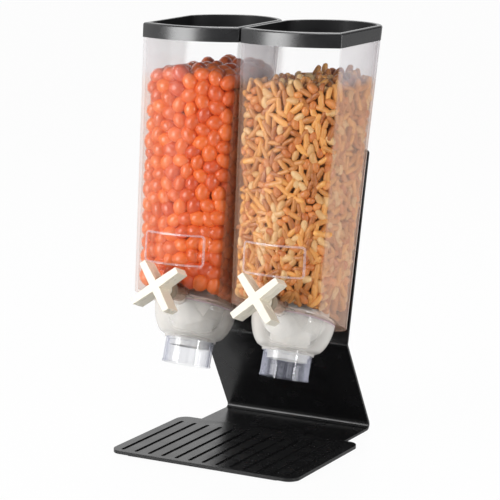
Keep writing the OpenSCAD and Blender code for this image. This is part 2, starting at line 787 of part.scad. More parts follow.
module front_bush() color("#d9d5cb")
    difference() {
        union() {
            on_axle(tube_start + CUT)
                cylinder(h = tube_end - tube_start, r = tube_bore_r - axle_gap);
            on_axle(tube_end) cylinder(h = collar_l, r = collar_r - collar_groove);
            for (i = [0:collar_rings - 1])
                on_axle(tube_end + i * collar_l / (collar_rings - 0.5))
                    cylinder(h = collar_l / (2 * collar_rings - 1), r = collar_r);
        }
        on_axle(tube_start) cylinder(h = collar_end - tube_start + CUT, r = axle_r + axle_gap);
    }

module rear_bush() color("#d9d5cb")
    difference() {
        union() {
            on_axle(boss_back) cylinder(h = boss_l + chute_t, r = bush_r - axle_gap);
            on_axle(bush_back) cylinder(h = bush_flange_t, r = bush_r + bush_flange_w);
        }
        on_axle(bush_back - CUT)
            cylinder(h = boss_l + chute_t + bush_flange_t + 2 * CUT, r = axle_r + axle_gap);
    }

// Block that leaves a flat on a rod of radius r along the axle
module flat_block(from, to, r)
    on_axle(from) translate([-r, r - flat_d, 0]) cube([2 * r, 2 * r, to - from]);

module axle() color("#c2c2c4")
    difference() {
        on_axle(axle_back) cylinder(h = axle_front - axle_back, r = axle_r);
        flat_block(knob_back, axle_front + CUT, axle_r);
        flat_block(axle_back - CUT, wheel_w / 2, axle_r);
        on_axle(clip_back) ring(clip_t, axle_r + CUT, axle_r - clip_groove);
    }

module axle_clip() color("#9b9ca0")
    on_axle(clip_back) difference() {
        cylinder(h = clip_t, r = clip_r);
        translate([0, 0, -CUT])
            cylinder(h = clip_t + 2 * CUT, r = axle_r - clip_groove + axle_gap);
        translate([-axle_r / 2, 0, -CUT]) cube([axle_r, clip_r + CUT, clip_t + 2 * CUT]);
    }

// Hole for a rod with a flat
module keyed_bore(from, to)
    difference() {
        on_axle(from) cylinder(h = to - from, r = axle_r + axle_gap);
        flat_block(from, to, axle_r + axle_gap);
    }

module vane_plan(grow = 0)
    for (i = [0:vanes - 1])
        rotate(i * 360 / vanes)
            translate([hub_r - vane_root - grow, -vane_t / 2 - grow])
                square([wheel_r - hub_r + vane_root + 2 * grow, vane_t + 2 * grow]);

module wheel_hub(turn) color("#e9e7e1")
    difference() {
        on_axle(-wheel_w / 2) cylinder(h = wheel_w, r = hub_r);
        on_axle(-wheel_w / 2 - CUT) linear_extrude(wheel_w + 2 * CUT)
            rotate(turn) vane_plan(fit_gap / 2);
        keyed_bore(-wheel_w / 2 - CUT, wheel_w / 2 + CUT);
    }

module wheel_vanes(turn) color("#f4f3ee")
    on_axle(-wheel_w / 2) linear_extrude(wheel_w)
        intersection() {
            rotate(turn) vane_plan();
            circle(r = wheel_r, $fn = FINE);
        }

module knob_arm()
    polygon([
        [0, -arm_root_w / 2],
        [knob_arm_l, -arm_tip_w / 2],
        [knob_arm_l, arm_tip_w / 2],
        [0, arm_root_w / 2]
    ]);

module knob(turn) color("#f6f4ea")
    difference() {
        union() {
            on_axle(knob_back) cylinder(h = knob_hub_l + CUT, r = knob_hub_r);
            on_axle(arms_back) linear_extrude(knob_t)
                for (i = [0:3]) rotate(turn + 90 * i) knob_arm();
        }
        keyed_bore(knob_back - CUT, axle_front + fit_gap);
    }

// ---- What a node draws ----

module stand_piece(name) {
    if (name == "stand_plate") stand_plate();
    if (name == "rubber_feet") rubber_feet();
    if (name == "catch_tray") catch_tray();
    if (name == "left_hanger") on_side(-1) hanger();
    if (name == "right_hanger") on_side(1) hanger();
    if (name == "hanger_screws") hanger_screws();
    if (name == "hanger_nuts") hanger_nuts();
    if (name == "bumpers") bumpers();
}

module side_piece(name, turn) {
    if (name == "hopper") hopper();
    if (name == "label_frame") label_frame();
    if (name == "hook") hook();
    if (name == "lid") lid();
    if (name == "lid_gasket") lid_gasket();
    if (name == "bowl") bowl();
    if (name == "bowl_gasket") bowl_gasket();
    if (name == "chute") chute();
    if (name == "spout") spout();
    if (name == "spout_nut") spout_nut();
    if (name == "front_bush") front_bush();
    if (name == "rear_bush") rear_bush();
    if (name == "axle") axle();
    if (name == "axle_clip") axle_clip();
    if (name == "wheel_hub") wheel_hub(turn);
    if (name == "wheel_vanes") wheel_vanes(turn);
    if (name == "knob") knob(turn);
}

for (name = NODES)
    stand_piece(name);
for (piece = SIDE_PIECES) {
    on_side(-1) side_piece(piece, left_turn);
    on_side(1) side_piece(piece, right_turn);
}
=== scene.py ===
import json
import math

import bmesh
import bpy
import numpy as np
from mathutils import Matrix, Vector


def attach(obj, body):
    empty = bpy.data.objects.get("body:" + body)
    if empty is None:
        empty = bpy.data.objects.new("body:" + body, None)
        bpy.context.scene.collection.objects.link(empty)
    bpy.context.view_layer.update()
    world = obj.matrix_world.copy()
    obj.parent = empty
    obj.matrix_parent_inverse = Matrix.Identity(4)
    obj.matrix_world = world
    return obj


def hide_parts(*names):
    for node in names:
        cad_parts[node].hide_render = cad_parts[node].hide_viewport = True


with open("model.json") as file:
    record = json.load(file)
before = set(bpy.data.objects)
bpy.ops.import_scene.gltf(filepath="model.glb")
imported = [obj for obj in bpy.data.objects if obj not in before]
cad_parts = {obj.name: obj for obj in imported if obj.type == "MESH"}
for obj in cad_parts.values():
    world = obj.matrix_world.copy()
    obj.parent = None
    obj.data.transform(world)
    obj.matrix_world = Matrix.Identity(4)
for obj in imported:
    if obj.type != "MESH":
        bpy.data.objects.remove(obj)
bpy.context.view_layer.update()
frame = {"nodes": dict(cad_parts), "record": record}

bl_info = {
    "name": "Gravity food dispenser",
    "version": (1, 0, 0),
    "blender": (4, 5, 0),
    "location": "3D View > Sidebar > Dispenser",
    "description": "Finishes, food and stage for a twin gravity dispenser on a bent steel stand",
    "category": "Object",
}

MM = 0.001
SIDES = {"left": -1, "right": 1}
SLOTS = {p["node"]: p["material_slot"] for p in frame["record"]["subparts"]}
BODY_OF = {n: b for b, nodes in frame["record"]["behaviour"]["bodies"].items() for n in nodes}

# The hopper's outline in plan, in millimetres at the height of the lid's top, and its leans
LID_TOP = 505.0
HOPPER_X = 66.5
MOUTH_HALF_W = 65.0
MOUTH_FRONT_Y = -24.14
MOUTH_SIDE_Y = 75.06
MOUTH_BACK_D = 43.8
FRONT_BULGE = 15.0
SIDE_DRAFT = math.radians(1.27)
FRONT_LEAN = math.radians(6.8)
SIDE_LEAN = math.radians(11.28)
BACK_DRAFT = math.radians(0.86)
BACK_POWER = 1.75
WALL = 2.6

# The lid's heights, in millimetres: the top of its groove, and the floor of its dish
GROOVE_TOP_Z = 502.6
DISH_FLOOR_Z = 490.4

# The valve's axle, the floor round the outlet, the trough and the bearing, in millimetres
AXLE_AT = np.array([0.0, -13.034, 173.8])
AXLE_ALONG = np.array([0.0, -0.939693, 0.34202])
FLOOR_SLOPE = math.radians(25)
FLOOR_TOP_Z = 168.4
FLANGE_TOP = 5.4
TROUGH_R = 33.5
TROUGH_FROM = -34.0
TROUGH_TO = 29.0
BEARING_R = 12.5

# Noise in the finishes, in cells to a metre
MOTTLE_SCALE = 38
# Blotches in the painted light of the food, scattered in the hoppers' hazy walls
FOOD_LIGHT_BLOTCH_SCALE = 60
WAVE_SCALE = 22

# Carried-over meshes: the distance in metres within which corners merge, the turns between
# faces that count as flat, rounded as an edge or shaded as sharp, and the steps of a wide
# rounding
WELD = 2e-6
FLAT_WITHIN = math.radians(0.4)
SHARP_FROM = math.radians(35)
SMOOTH_BELOW = math.radians(38)
WIDE_STEPS = 4

# Choosing edges and faces by their place: lengths in millimetres, and shares of the lid's half
NEAR = 0.1
CORNER_LENGTH = 40
RIM_HEIGHT = 3
LEDGE_DEPTH = 0.9
BAND_SHARE = 0.03
DISH_SHARE = 0.08

# The food, in millimetres: the points in each hopper, the distance between them (of the nuts
# in their own radii), the room to the walls, the lowest point, and the heap's crown
NUT_COUNT = 690
NUT_SPACING = 1.92
NUT_CLEARANCE = 0.8
MIX_COUNT = 2540
MIX_SPACING = 11.6
MIX_CLEARANCE = 1.4
LOWEST_FOOD = 190.0
CROWN_HEIGHT = 6
CROWN_WIDTH = 28

# Where its points start, in millimetres: across, from front to back, and leaning with the
# hopper by a share of their height over a level
START_X = (-60, 60)
START_Y = (-60, 110)
START_LEAN = 0.16
START_LEVEL = 440

# How the points move apart in a round: the share of what is missing, the longest step in
# spacings, and the extra room at the leaning front wall
PUSH_SHARE = 0.3
LONGEST_STEP = 0.4
FRONT_ROOM = 1.05

# How near a wall a piece of food lies along it, in millimetres, and how strongly
LYING_DEPTH = 5.0
LYING_SHARE = 1.3

# The mix: sticks up to the first share, nut halves up to the second, and then nuggets
STICKS_TO = 0.62
HALVES_TO = 0.82

# The stage: half the floor's width in metres, its grey and roughness under the lamps, how white
# it looks by itself and in mirrors, the light from all round, and the white wall that only
# mirrors show, with its direction, where it fades in and its least strength
FLOOR_REACH = 30.0
FLOOR_GREY = (0.74, 0.74, 0.74, 1)
FLOOR_ROUGHNESS = 0.3
FLOOR_WHITE = 0.96
MIRRORED_FLOOR = 0.35
SOFT_LIGHT = 0.2
MIRRORED_WALL = (-0.8, 0.6, 0.0)
WALL_FADE = (0.2, 0.8)
WALL_LEAST = 0.1

# Lamps: azimuth in degrees, height, distance, width and length in metres, and watts
LAMPS = {
    "Key softbox": (-34, 0.8, 2.0, 1.0, 1.5, 32.0),
    "Side fill": (50, 0.8, 2.4, 1.0, 1.0, 4.5),
    "Right strip": (74, 0.7, 1.8, 0.1, 1.1, 13.0),
    "Top softbox": (-20, 1.9, 0.6, 1.2, 1.2, 8.0),
    "Back softbox": (205, 2.1, 1.0, 1.2, 1.2, 22.0),
}
LAMPS_AIM = Vector((0, 0, 0.28))

# The camera: where it looks from and at, in degrees and metres, and its lens in millimetres
CAMERA_AZIMUTH = math.radians(29.16)
CAMERA_ELEVATION = math.radians(11.49)
CAMERA_DISTANCE = 2.61488
CAMERA_TARGET = Vector((-0.93 * MM, 0, 238.7 * MM))
CAMERA_LENS = 158.5
CAMERA_SENSOR = 36


def half_width(z):
    """Half of the hopper's width at a height."""
    return MOUTH_HALF_W - (LID_TOP - z) * math.tan(SIDE_DRAFT)


def front_corner_y(z):
    """Where the bowed front meets the flat sides."""
    return MOUTH_FRONT_Y - (LID_TOP - z) * math.tan(FRONT_LEAN)


def side_end_y(z):
    """Where the flat sides meet the rounded back."""
    return MOUTH_SIDE_Y - (LID_TOP - z) * math.tan(SIDE_LEAN)


def back_depth(z):
    """How far the rounded back reaches past the flat sides."""
    return MOUTH_BACK_D - (LID_TOP - z) * math.tan(BACK_DRAFT)


# ---- Sizes and colours ----


class DispenserFinishes(bpy.types.PropertyGroup):
    steel: bpy.props.FloatVectorProperty(
        name="Stand", description="Powder coat of the bent stand",
        subtype="COLOR", size=3, default=(0.0075, 0.0075, 0.008))
    tray: bpy.props.FloatVectorProperty(
        name="Tray", description="Moulded catch tray",
        subtype="COLOR", size=3, default=(0.010, 0.010, 0.0105))
    lid: bpy.props.FloatVectorProperty(
        name="Lids", description="Glossy charcoal lids",
        subtype="COLOR", size=3, default=(0.011, 0.011, 0.012))
    clear: bpy.props.FloatVectorProperty(
        name="Clear plastic", description="Haze of the clear hoppers",
        subtype="COLOR", size=3, default=(0.78, 0.72, 0.75))
    # A painted light: the colour that the food behind the hoppers' hazy walls scatters into them,
    # painted on the haze below the fill level
    painted_food_light: bpy.props.FloatVectorProperty(
        name="Painted food light", description="Painted light of the food, scattered in the hoppers' hazy walls",
        subtype="COLOR", size=3, default=(0.74, 0.47, 0.34))
    milky: bpy.props.FloatVectorProperty(
        name="Bowls", description="Milky bowls under the hoppers",
        subtype="COLOR", size=3, default=(0.92, 0.89, 0.84))
    ivory: bpy.props.FloatVectorProperty(
        name="Knobs", description="Ivory moulding of the knobs",
        subtype="COLOR", size=3, default=(0.80, 0.75, 0.63))
    nut: bpy.props.FloatVectorProperty(
        name="Coated nuts", description="Orange coating of the nuts in the left hopper",
        subtype="COLOR", size=3, default=(0.86, 0.15, 0.022))
    stick: bpy.props.FloatVectorProperty(
        name="Snack sticks", description="Baked sticks in the right hopper",
        subtype="COLOR", size=3, default=(0.72, 0.29, 0.065))


class DispenserSizes(bpy.types.PropertyGroup):
    edge: bpy.props.FloatProperty(
        name="Edge radius", description="Rounding of moulded edges",
        unit="LENGTH", default=0.8 * MM, min=0.1 * MM, max=2 * MM)
    nut_length: bpy.props.FloatProperty(
        name="Nut length", description="Length of a coated nut",
        unit="LENGTH", default=24 * MM, min=10 * MM, max=30 * MM)
    nut_width: bpy.props.FloatProperty(
        name="Nut width", description="Width of a coated nut",
        unit="LENGTH", default=19.5 * MM, min=8 * MM, max=24 * MM)
    stick_length: bpy.props.FloatProperty(
        name="Stick length", description="Length of a snack stick",
        unit="LENGTH", default=22 * MM, min=10 * MM, max=40 * MM)
    stick_width: bpy.props.FloatProperty(
        name="Stick width", description="Width of a snack stick",
        unit="LENGTH", default=7.6 * MM, min=3 * MM, max=12 * MM)
    nut_fill: bpy.props.FloatProperty(
        name="Nut level", description="Height of the nuts above the table",
        unit="LENGTH", default=451 * MM, min=260 * MM, max=470 * MM)
    stick_fill: bpy.props.FloatProperty(
        name="Stick level", description="Height of the sticks above the table",
        unit="LENGTH", default=443 * MM, min=260 * MM, max=470 * MM)


def finishes():
    """The scene's colours."""
    return bpy.context.scene.dispenser_finishes


def sizes():
    """The scene's sizes, in metres."""
    return bpy.context.scene.dispenser_sizes


# ---- Materials ----


class Tree:
    """A node tree that is filled by short calls."""

    def __init__(self, tree):
        self.tree = tree

    def node(self, kind, **settings):
        made = self.tree.nodes.new(kind)
        for name, value in settings.items():
            setattr(made, name, value)
        return made

    def link(self, source, target):
        self.tree.links.new(source, target)


def new_material(name):
    """An empty material and its tree."""
    material = bpy.data.materials.new(name)
    material.use_nodes = True
    material.node_tree.nodes.clear()
    return material, Tree(material.node_tree)


def object_noise(tree, scale, detail=3.0, stretch=(1, 1, 1)):
    """Noise in the object's own space; the scale counts its cells in a metre."""
    coordinates = tree.node("ShaderNodeTexCoord")
    mapping = tree.node("ShaderNodeMapping")
    mapping.inputs["Scale"].default_value = stretch
    noise = tree.node("ShaderNodeTexNoise")
    noise.inputs["Scale"].default_value = scale
    noise.inputs["Detail"].default_value = detail
    tree.link(coordinates.outputs["Object"], mapping.inputs["Vector"])
    tree.link(mapping.outputs["Vector"], noise.inputs["Vector"])
    return noise.outputs["Fac"]


def spread(tree, source, low, high):
    """Takes the middle of a noise, from 0.3 to 0.7, to the range from low to high."""
    span = tree.node("ShaderNodeMapRange")
    span.inputs["From Min"].default_value = 0.3
    span.inputs["From Max"].default_value = 0.7
    span.inputs["To Min"].default_value = low
    span.inputs["To Max"].default_value = high
    tree.link(source, span.inputs["Value"])
    return span.outputs["Result"]


def tinted(tree, source, colour, low, high):
    """The colour times a share that follows a noise."""
    mix = tree.node("ShaderNodeMix", data_type="RGBA")
    mix.inputs["A"].default_value = (*[c * low for c in colour], 1)
    mix.inputs["B"].default_value = (*[min(1, c * high) for c in colour], 1)
    tree.link(spread(tree, source, 0, 1), mix.inputs["Factor"])
    return mix.outputs["Result"]


def bumped(tree, source, height, target):
    """Relief of the given height, in metres, from a noise."""
    bump = tree.node("ShaderNodeBump")
    bump.inputs["Distance"].default_value = height
    tree.link(source, bump.inputs["Height"])
    tree.link(bump.outputs["Normal"], target.inputs["Normal"])


def opaque_finish(name, colour, roughness, grain_scale, grain_height,
                  spread_by=(0.85, 1.15), rough_by=0.06, metallic=0.0,
                  stretch=(1, 1, 1), ior=1.5, specular=0.5, subsurface=0.0):
    """Moulded, coated or metal surface with mottled colour, uneven gloss and fine grain."""
    material, tree = new_material(name)
    shader = tree.node("ShaderNodeBsdfPrincipled")
    output = tree.node("ShaderNodeOutputMaterial")
    mottle = object_noise(tree, MOTTLE_SCALE, 4)
    grain = object_noise(tree, grain_scale, 2, stretch)
    tree.link(tinted(tree, mottle, colour, *spread_by), shader.inputs["Base Color"])
    tree.link(spread(tree, mottle, roughness - rough_by, roughness + rough_by),
              shader.inputs["Roughness"])
    bumped(tree, grain, grain_height, shader)
    shader.inputs["Metallic"].default_value = metallic
    shader.inputs["IOR"].default_value = ior
    shader.inputs["Specular IOR Level"].default_value = specular
    if subsurface:
        shader.inputs["Subsurface Weight"].default_value = subsurface
        shader.inputs["Subsurface Radius"].default_value = (1, 0.9, 0.75)
        shader.inputs["Subsurface Scale"].default_value = 2 * MM
    tree.link(shader.outputs["BSDF"], output.inputs["Surface"])
    return material


def with_painted_food_light(tree, clean, colour, level):
    """The clean colour above a level and, in blotches below it, a painted light: the colour the
    food behind the hazy wall scatters into it.
    """
    fade = 8 * MM
    coordinates = tree.node("ShaderNodeTexCoord")
    apart = tree.node("ShaderNodeSeparateXYZ")
    below = tree.node("ShaderNodeMapRange", interpolation_type="SMOOTHSTEP")
    below.inputs["From Min"].default_value = level + fade
    below.inputs["From Max"].default_value = level - fade
    mix = tree.node("ShaderNodeMix", data_type="RGBA")
    tree.link(coordinates.outputs["Object"], apart.inputs[0])
    tree.link(apart.outputs["Z"], below.inputs["Value"])
    tree.link(below.outputs["Result"], mix.inputs["Factor"])
    tree.link(clean, mix.inputs["A"])
    blotches = object_noise(tree, FOOD_LIGHT_BLOTCH_SCALE)
    tree.link(tinted(tree, blotches, colour, 0.85, 1.1), mix.inputs["B"])
    return mix.outputs["Result"]


def clear_finish(name, colour, face_on, edge_on, roughness=0.06, curve=2.0, gloss_ior=2.0,
                 painted_food_light=None):
    """Clear or milky plastic: a share of haze that grows where the wall is seen edge on.

    The last argument is a colour and a height in metres. Below that height the haze takes the
    colour, a painted light of the food behind the wall scattered in it.
    """
    material, tree = new_material(name)
    haze = tree.node("ShaderNodeBsdfPrincipled")
    through = tree.node("ShaderNodeBsdfTransparent")
    mix = tree.node("ShaderNodeMixShader")
    output = tree.node("ShaderNodeOutputMaterial")
    facing = tree.node("ShaderNodeLayerWeight")
    facing.inputs["Blend"].default_value = 0.5
    power = tree.node("ShaderNodeMath", operation="POWER")
    power.inputs[1].default_value = curve
    share = tree.node("ShaderNodeMapRange")
    share.inputs["To Min"].default_value = face_on
    share.inputs["To Max"].default_value = edge_on
    waves = object_noise(tree, WAVE_SCALE, 1)
    tree.link(facing.outputs["Facing"], power.inputs[0])
    tree.link(power.outputs["Value"], share.inputs["Value"])
    clean = tinted(tree, waves, colour, 0.93, 1.04)
    if painted_food_light:
        clean = with_painted_food_light(tree, clean, *painted_food_light)
    tree.link(clean, haze.inputs["Base Color"])
    tree.link(spread(tree, waves, roughness * 0.8, roughness * 1.3), haze.inputs["Roughness"])
    bumped(tree, waves, 0.02 * MM, haze)
    haze.inputs["IOR"].default_value = gloss_ior
    tree.link(share.outputs["Result"], mix.inputs["Fac"])
    tree.link(through.outputs["BSDF"], mix.inputs[1])
    tree.link(haze.outputs["BSDF"], mix.inputs[2])
    tree.link(mix.outputs["Shader"], output.inputs["Surface"])
    return material


def food_finish(name, colour, dark, light, roughness, speckle_scale, speckle, coat):
    """Coated or baked food: a tint of its own for each piece, and blotches on its surface."""
    material, tree = new_material(name)
    shader = tree.node("ShaderNodeBsdfPrincipled")
    output = tree.node("ShaderNodeOutputMaterial")
    tint = tree.node("ShaderNodeAttribute", attribute_name="tint")
    pieces = tree.node("ShaderNodeMix", data_type="RGBA")
    pieces.inputs["A"].default_value = (*dark, 1)
    pieces.inputs["B"].default_value = (*light, 1)
    tree.link(tint.outputs["Fac"], pieces.inputs["Factor"])
    blotches = tree.node("ShaderNodeMix", data_type="RGBA")
    blotches.inputs["B"].default_value = (*colour, 1)
    noise = object_noise(tree, speckle_scale, 4)
    tree.link(spread(tree, noise, 1 - speckle, 0.5), blotches.inputs["Factor"])
    tree.link(pieces.outputs["Result"], blotches.inputs["A"])
    tree.link(blotches.outputs["Result"], shader.inputs["Base Color"])
    tree.link(spread(tree, noise, roughness - 0.08, roughness + 0.08), shader.inputs["Roughness"])
    bumped(tree, noise, 0.25 * MM, shader)
    shader.inputs["Coat Weight"].default_value = coat
    shader.inputs["Coat Roughness"].default_value = 0.16
    tree.link(shader.outputs["BSDF"], output.inputs["Surface"])
    return material


def make_finishes():
    """One material for each of the record's finish slots, and one for the dishes of the lids."""
    colours = finishes()
    return {
        "black_powder_coat": opaque_finish(
            "Black powder coat", colours.steel, 0.24, 900, 0.03 * MM, ior=1.45),
        "black_plastic": opaque_finish(
            "Black moulded tray", colours.tray, 0.27, 1400, 0.02 * MM, ior=1.45),
        "black_rubber": opaque_finish(
            "Black rubber", (0.012, 0.012, 0.012), 0.75, 700, 0.05 * MM),
        "black_anodised": opaque_finish(
            "Black anodised rail", (0.022, 0.022, 0.025), 0.35, 500, 0.01 * MM,
            metallic=0.6, stretch=(1, 1, 0.05)),
        "zinc_steel": opaque_finish(
            "Zinc-plated steel", (0.62, 0.62, 0.60), 0.3, 400, 0.01 * MM, metallic=1.0),
        "charcoal_plastic": opaque_finish(
            "Glossy charcoal lid", colours.lid, 0.26, 1200, 0.004 * MM, rough_by=0.03, ior=1.8),
        "textured_dish": opaque_finish(
            "Textured lid dish", colours.lid, 0.55, 2200, 0.03 * MM, specular=0.25),
        "grey_rubber": opaque_finish("Grey gasket", (0.05, 0.05, 0.055), 0.6, 700, 0.03 * MM),
        "lilac_rubber": opaque_finish(
            "Pale lilac seam", (0.62, 0.53, 0.60), 0.45, 700, 0.02 * MM, subsurface=0.3),
        "white_plastic": opaque_finish(
            "White moulding", (0.80, 0.79, 0.76), 0.35, 900, 0.01 * MM, subsurface=0.2),
        "white_rubber": opaque_finish("White vanes", (0.78, 0.77, 0.73), 0.5, 700, 0.02 * MM),
        "beige_acetal": opaque_finish(
            "Beige acetal", (0.36, 0.30, 0.23), 0.35, 900, 0.01 * MM, subsurface=0.1),
        "polished_steel": opaque_finish(
            "Ground steel", (0.60, 0.60, 0.61), 0.22, 300, 0.005 * MM, metallic=1.0,
            stretch=(1, 0.05, 1)),
        "ivory_plastic": opaque_finish(
            "Ivory knob", colours.ivory, 0.28, 1100, 0.006 * MM, spread_by=(0.96, 1.03),
            rough_by=0.04, subsurface=0.15),
        "clear_plastic": clear_finish(
            "Clear hopper", colours.clear, 0.012, 1.0, 0.09, 2.2,
            # Below the sticks' level the haze takes a painted light of the food behind it
            painted_food_light=(colours.painted_food_light, sizes().stick_fill)),
        "clear_frame": clear_finish(
            "Raised clear frame", (0.84, 0.70, 0.72), 0.22, 0.7, curve=1.5),
        "frosted_plastic": clear_finish(
            "Frosted hook", (0.72, 0.74, 0.76), 0.45, 0.85, 0.3, 1.5),
        "milky_plastic": clear_finish(
            "Milky bowl", colours.milky, 0.15, 0.95, 0.12, 1.4, gloss_ior=1.8),
        "clear_spout": clear_finish(
            "Clear spout", (0.52, 0.54, 0.68), 0.085, 0.9, 0.05, 2.4, gloss_ior=3.2),
    }


FINISH_STORE = {}


def shared_finishes():
    """All finishes, made once and kept for every step."""
    if not FINISH_STORE:
        FINISH_STORE.update(make_finishes())
    return FINISH_STORE


# ---- Carried-over pieces ----


def link_mesh(name, mesh):
    """A new object in the scene with a mesh."""
    piece = bpy.data.objects.new(name, mesh)
    bpy.context.scene.collection.objects.link(piece)
    return piece


def round_edges(bm, radius, segments, chosen, clamped=True):
    """Bevels the chosen edges; unclamped, the radius holds where edges are short."""
    edges = [e for e in bm.edges if len(e.link_faces) == 2 and chosen(e)]
    bmesh.ops.bevel(bm, geom=edges, offset=radius, segments=segments, profile=0.5,
                    affect="EDGES", clamp_overlap=clamped)


def sharp(edge):
    """Whether an edge's faces turn enough for it to be rounded."""
    return edge.calc_face_angle(0) > SHARP_FROM


def rounded_mesh(node, materials, radius, segments=2, chosen=sharp, wider=(), inlay=None):
    """A merged, rounded and smooth-shaded copy of a CAD node's mesh.

    Each of wider is a radius and a choice of edges, rounded first. An inlay is a choice of
    faces and the finish that they take.
    """
    mesh = frame["nodes"][node].data.copy()
    mesh.name = node + "_finished"
    bm = bmesh.new()
    bm.from_mesh(mesh)
    bmesh.ops.remove_doubles(bm, verts=bm.verts, dist=WELD)
    bmesh.ops.dissolve_limit(bm, angle_limit=FLAT_WITHIN, verts=bm.verts, edges=bm.edges)
    for wide_radius, wide_edges in wider:
        round_edges(bm, wide_radius, WIDE_STEPS, wide_edges, clamped=False)
    if radius:
        round_edges(bm, radius, segments, chosen)
    bmesh.ops.triangulate(bm, faces=[f for f in bm.faces if len(f.verts) > 4])
    mesh.materials.clear()
    mesh.materials.append(materials[SLOTS[node]])
    if inlay:
        mesh.materials.append(inlay[1])
    for face in bm.faces:
        face.material_index = 1 if inlay and inlay[0](face) else 0
    bm.to_mesh(mesh)
    bm.free()
    mesh.shade_smooth()
    mesh.set_sharp_from_angle(angle=SMOOTH_BELOW)
    return mesh


def stand_in(piece, node):
    """Puts a piece in the place of a CAD node, on its body, and hides the node."""
    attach(piece, BODY_OF[node])
    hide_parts(node)


def finished(node, materials, radius=0.0, **rounding):
    """The finished piece for a CAD node."""
    piece = link_mesh(node + "_piece", rounded_mesh(node, materials, radius, **rounding))
    weighted = piece.modifiers.new("Flat faces stay flat", "WEIGHTED_NORMAL")
    weighted.keep_sharp = True
    stand_in(piece, node)


# ---- Repeated parts ----


def copies_tree():
    """Sets a part at each point, turned about an axis by the point's own angle."""
    group = bpy.data.node_groups.new("Copies at places", "GeometryNodeTree")
    for name, kind in (("Geometry", "Geometry"), ("Part", "Object"), ("Axis", "Vector"),
                       ("Finish", "Material")):
        group.interface.new_socket(name, in_out="INPUT", socket_type="NodeSocket" + kind)
    group.interface.new_socket("Geometry", in_out="OUTPUT", socket_type="NodeSocketGeometry")
    tree = Tree(group)
    given = tree.node("NodeGroupInput").outputs
    part = tree.node("GeometryNodeObjectInfo")
    angle = tree.node("GeometryNodeInputNamedAttribute", data_type="FLOAT")
    angle.inputs["Name"].default_value = "angle"
    turn = tree.node("FunctionNodeAxisAngleToRotation")
    place = tree.node("GeometryNodeInstanceOnPoints")
    real = tree.node("GeometryNodeRealizeInstances")
    finish = tree.node("GeometryNodeSetMaterial")
    result = tree.node("NodeGroupOutput")
    for source, target in (
            (given["Part"], part.inputs["Object"]),
            (given["Axis"], turn.inputs["Axis"]),
            (angle.outputs["Attribute"], turn.inputs["Angle"]),
            (given["Geometry"], place.inputs["Points"]),
            (part.outputs["Geometry"], place.inputs["Instance"]),
            (turn.outputs["Rotation"], place.inputs["Rotation"]),
            (place.outputs["Instances"], real.inputs["Geometry"]),
            (real.outputs["Geometry"], finish.inputs["Geometry"]),
            (given["Finish"], finish.inputs["Material"]),
            (finish.outputs["Geometry"], result.inputs["Geometry"])):
        tree.link(source, target)
    return group


def grow(name, mesh, group, settings):
    """Runs a tree on a mesh and keeps what it makes as a plain piece."""
    source = link_mesh(name + "_points", mesh)
    modifier = source.modifiers.new(name, "NODES")
    modifier.node_group = group
    sockets = {s.name: s.identifier for s in group.interface.items_tree if s.in_out == "INPUT"}
    for label, value in settings.items():
        modifier[sockets[label]] = value
    source.update_tag()
    bpy.context.view_layer.update()
    evaluated = source.evaluated_get(bpy.context.evaluated_depsgraph_get())
    result = bpy.data.meshes.new_from_object(evaluated)
    result.name = name
    bpy.data.objects.remove(source)
    return link_mesh(name, result)


def loose_parts(bm):
    """The vertices of each loose part, in the mesh's own order."""
    parts, seen = [], set()
    for start in bm.verts:
        if start in seen:
            continue
        seen.add(start)
        part = [start]
        for vert in part:
            for edge in vert.link_edges:
                other = edge.other_vert(vert)
                if other not in seen:
                    seen.add(other)
                    part.append(other)
        parts.append(part)
    return parts


def box_middle(verts):
    """The middle of the box round some vertices."""
    low, high = (Vector([pick(v.co[i] for v in verts) for i in range(3)]) for pick in (min, max))
    return (low + high) / 2


def repeated(node, materials, group, radius=0.0, pivot=None):
    """A node's equal parts, copied from its first one to the others' places or turns."""
    mesh = rounded_mesh(node, materials, radius)
    bm = bmesh.new()
    bm.from_mesh(mesh)
    parts = loose_parts(bm)
    places = [pivot or box_middle(part) for part in parts]
    angles = [math.tau * k / len(parts) if pivot else 0.0 for k in range(len(parts))]
    kept = set(parts[0])
    bmesh.ops.delete(bm, geom=[v for v in bm.verts if v not in kept], context="VERTS")
    bmesh.ops.translate(bm, verts=bm.verts, vec=-places[0])
    bm.to_mesh(mesh)
    bm.free()
    pattern = link_mesh(node + "_pattern", mesh)
    points = bpy.data.meshes.new(node + "_places")
    points.from_pydata(places, [], [])
    points.attributes.new("angle", "FLOAT", "POINT").data.foreach_set("value", angles)
    settings = {"Part": pattern, "Axis": tuple(AXLE_ALONG), "Finish": materials[SLOTS[node]]}
    stand_in(grow(node + "_piece", points, group, settings), node)
    bpy.data.objects.remove(pattern)


def on_hopper_corner(edge):
    """Whether an edge runs up one of the hopper's front corners, inside or outside."""
    low, high = sorted((v.co / MM for v in edge.verts), key=lambda p: p.z)
    if high.z - low.z < CORNER_LENGTH:
        return False
    side = math.copysign(HOPPER_X, low.x)
    return all(
        abs(abs(p.x - side) - half_width(p.z)) < WALL + 0.2
        and abs(p.y - front_corner_y(p.z)) < WALL + 0.6 for p in (low, high))


def lid_inset(p):
    """How far inside the lid's outline a point is, as a share of its half; 0 on the band."""
    side = math.copysign(HOPPER_X, p.x)
    u = (p.x - side) / half_width(p.z)
    if p.y < front_corner_y(p.z):
        bow = FRONT_BULGE * (1 - u * u)
        return min(1 - abs(u), (p.y - front_corner_y(p.z) + bow) / half_width(p.z))
    if p.y < side_end_y(p.z):
        return 1 - abs(u)
    v = (p.y - side_end_y(p.z)) / back_depth(p.z)
    return 1 - (abs(u) ** BACK_POWER + v ** BACK_POWER) ** (1 / BACK_POWER)


